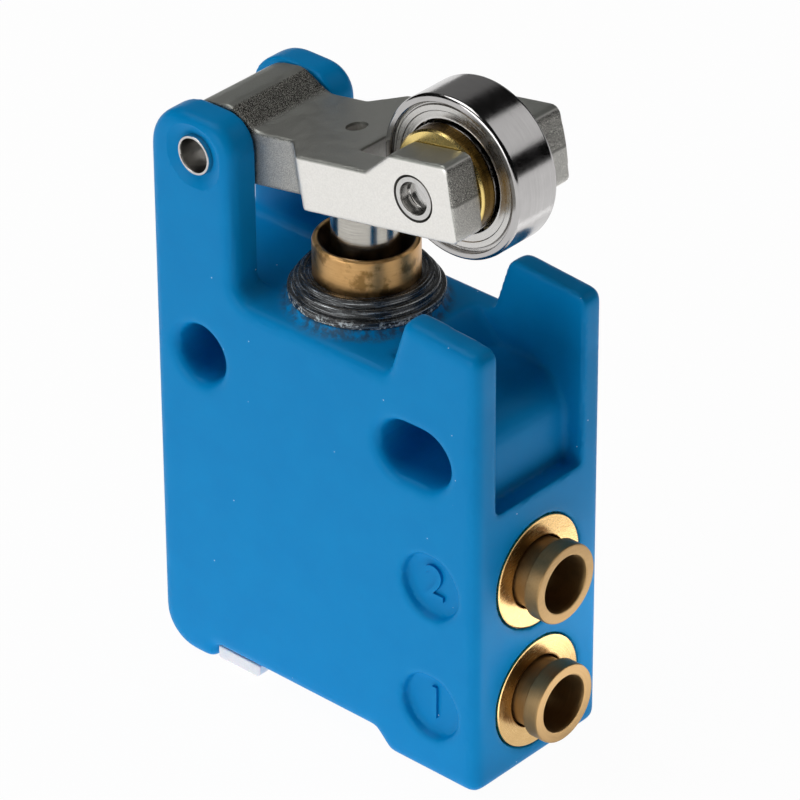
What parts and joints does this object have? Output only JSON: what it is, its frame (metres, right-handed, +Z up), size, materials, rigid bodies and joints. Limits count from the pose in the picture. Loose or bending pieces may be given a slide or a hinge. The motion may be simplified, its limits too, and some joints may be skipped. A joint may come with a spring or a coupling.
{
  "type": "roller lever air valve",
  "caption": "Blue moulded air valve with a forked lever and ball-bearing roller that presses a plunger, push-in tube ports on its end face and fixing holes through its sides.",
  "frame": {"origin": "centre of the round fixing hole, halfway through the body's thickness", "axes": "+X from the pivot end towards the tube ports, +Y through the thickness towards the back, +Z up towards the roller"},
  "size_m": [0.0327, 0.0132, 0.0514],
  "materials": {
    "body_blue": "satin moulded",
    "lever_steel": "sintered, fine grain",
    "pin_steel": "turned bright",
    "bearing_steel": "ground and polished",
    "shield_steel": "pressed sheet",
    "cage_polymer": "moulded",
    "brass": "turned",
    "collar_brass": "turned, dull",
    "bronze": "sintered, oiled",
    "gland_black": "blackened, worn rims",
    "plunger_steel": "ground bright",
    "seal_rubber": "plain",
    "spring_steel": "drawn wire",
    "filter_white": "porous"
  },
  "bodies": {
    "valve_body": {"body": "body_blue", "pivot_pin": "pin_steel", "guide_bush": "bronze", "gland_ring": "gland_black", "plunger_spring": "spring_steel", "valve_seat": "brass", "poppet_spring": "spring_steel", "bottom_plug": "brass", "bottom_plug_oring": "seal_rubber", "exhaust_filter": "filter_white", "port_sleeve_1": "brass", "port_sleeve_2": "brass", "gripper_1": "pin_steel", "gripper_2": "pin_steel", "tube_seal_1": "seal_rubber", "tube_seal_2": "seal_rubber"},
    "lever_arm": {"lever": "lever_steel", "roller_pin": "pin_steel", "spacer_front": "brass", "spacer_rear": "brass", "bearing_inner_ring": "bearing_steel"},
    "roller": {"bearing_outer_ring": "bearing_steel", "bearing_shield_front": "shield_steel", "bearing_shield_rear": "shield_steel"},
    "ball_set": {"bearing_balls": "bearing_steel", "ball_cage": "cage_polymer"},
    "plunger_rod": {"plunger": "plunger_steel", "plunger_oring": "seal_rubber"},
    "poppet_set": {"poppet": "brass", "poppet_seal": "seal_rubber"},
    "supply_collar": {"release_collar_1": "collar_brass"},
    "outlet_collar": {"release_collar_2": "collar_brass"}
  },
  "joints": [
    {"name": "lever_pivot", "type": "hinge", "parent": "valve_body", "child": "lever_arm", "pos_m": [0, 0, 0.016], "axis": [0, 1, 0], "range_deg": [0, 13], "stiffness_Nm_per_rad": 0.5, "springref_deg": -17.19},
    {"name": "roller_spin", "type": "hinge", "parent": "lever_arm", "child": "roller", "pos_m": [0.01947, 0, 0.01959], "axis": [0, 1, 0], "continuous": true},
    {"name": "ball_orbit", "type": "hinge", "parent": "lever_arm", "child": "ball_set", "pos_m": [0.01947, 0, 0.01959], "axis": [0, 1, 0], "continuous": true},
    {"name": "plunger_slide", "type": "slide", "parent": "valve_body", "child": "plunger_rod", "axis": [0, 0, -1], "range_m": [0, 0.0022], "deforming": ["plunger_spring"]},
    {"name": "poppet_slide", "type": "slide", "parent": "valve_body", "child": "poppet_set", "axis": [0, 0, -1], "range_m": [0, 0.0015], "deforming": ["poppet_spring"]},
    {"name": "supply_release", "type": "slide", "parent": "valve_body", "child": "supply_collar", "axis": [-1, 0, 0], "range_m": [0, 0.0008], "stiffness_N_per_m": 500, "springref_m": -0.001},
    {"name": "outlet_release", "type": "slide", "parent": "valve_body", "child": "outlet_collar", "axis": [-1, 0, 0], "range_m": [0, 0.0008], "stiffness_N_per_m": 500, "springref_m": -0.001}
  ],
  "couplings": [
    {"joint": "plunger_slide", "follows": "lever_pivot", "m_per_rad": 0.0095424},
    {"joint": "poppet_slide", "follows": "lever_pivot", "m_per_rad": 0.0063907},
    {"joint": "ball_orbit", "follows": "roller_spin", "ratio": 0.58822}
  ]
}
